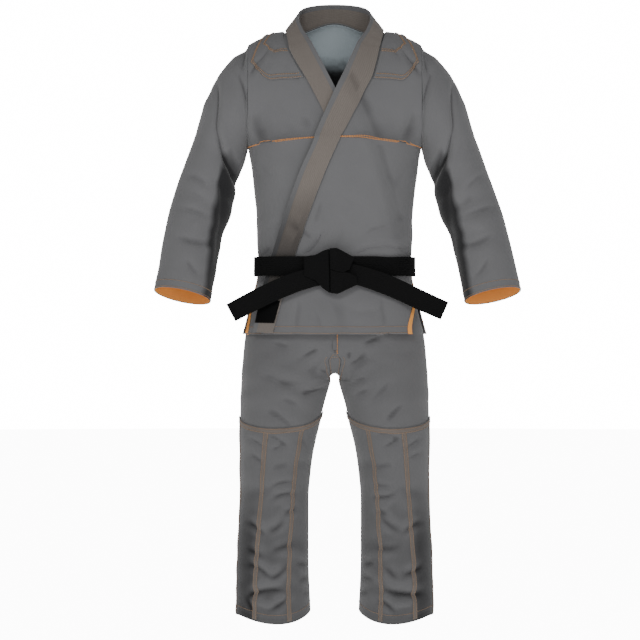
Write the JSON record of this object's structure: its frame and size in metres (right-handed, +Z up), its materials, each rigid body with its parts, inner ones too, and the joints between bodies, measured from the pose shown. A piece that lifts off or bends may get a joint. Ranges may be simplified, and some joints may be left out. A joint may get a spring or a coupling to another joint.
{
  "type": "judo uniform",
  "caption": "Judo uniform that keeps its worn, hollow form: grey crossover jacket with a stitched lapel, trousers with knee panels and a knotted black belt.",
  "frame": {"origin": "between the shoulders, at the height where the collar meets the shoulder seams, where the wearer holds the uniform up", "axes": "+Z up, -Y to the front of the garment, +X to the wearer's left"},
  "size_m": [0.8686, 0.2852, 1.4842],
  "materials": {
    "jacket_cloth": "pearl weave cotton, matt grey",
    "trouser_cloth": "cotton drill, matt grey",
    "collar_cloth": "ribbed lapel, grey cloth under close rows of tan stitching",
    "orange_facing": "orange cotton facing and tape",
    "yoke_lining": "pale bluish grey lining",
    "black_belt": "black cotton, stitched in rows"
  },
  "bodies": {
    "root": {"front_upper_left": "jacket_cloth", "front_lower_left": "jacket_cloth", "front_upper_right": "jacket_cloth", "front_lower_right": "jacket_cloth", "back": "jacket_cloth", "sleeve_left": "jacket_cloth", "sleeve_right": "jacket_cloth", "shoulder_patch_left": "jacket_cloth", "shoulder_patch_right": "jacket_cloth", "yoke_lining": "yoke_lining", "collar": "collar_cloth", "lapel_patch": "black_belt", "cuff_facing_left": "orange_facing", "cuff_facing_right": "orange_facing", "vent_tape_front_left": "orange_facing", "vent_tape_front_right": "orange_facing", "vent_tape_back_left": "orange_facing", "vent_tape_back_right": "orange_facing", "leg_front_left": "trouser_cloth", "leg_front_right": "trouser_cloth", "leg_back_left": "trouser_cloth", "leg_back_right": "trouser_cloth", "knee_panel_left": "trouser_cloth", "knee_panel_right": "trouser_cloth", "gusset": "trouser_cloth", "waistband": "trouser_cloth", "belt_wrap": "black_belt", "knot_fan": "black_belt", "knot_over": "black_belt", "knot_under": "black_belt", "belt_tail_left": "black_belt", "belt_tail_right": "black_belt"}
  },
  "joints": []
}
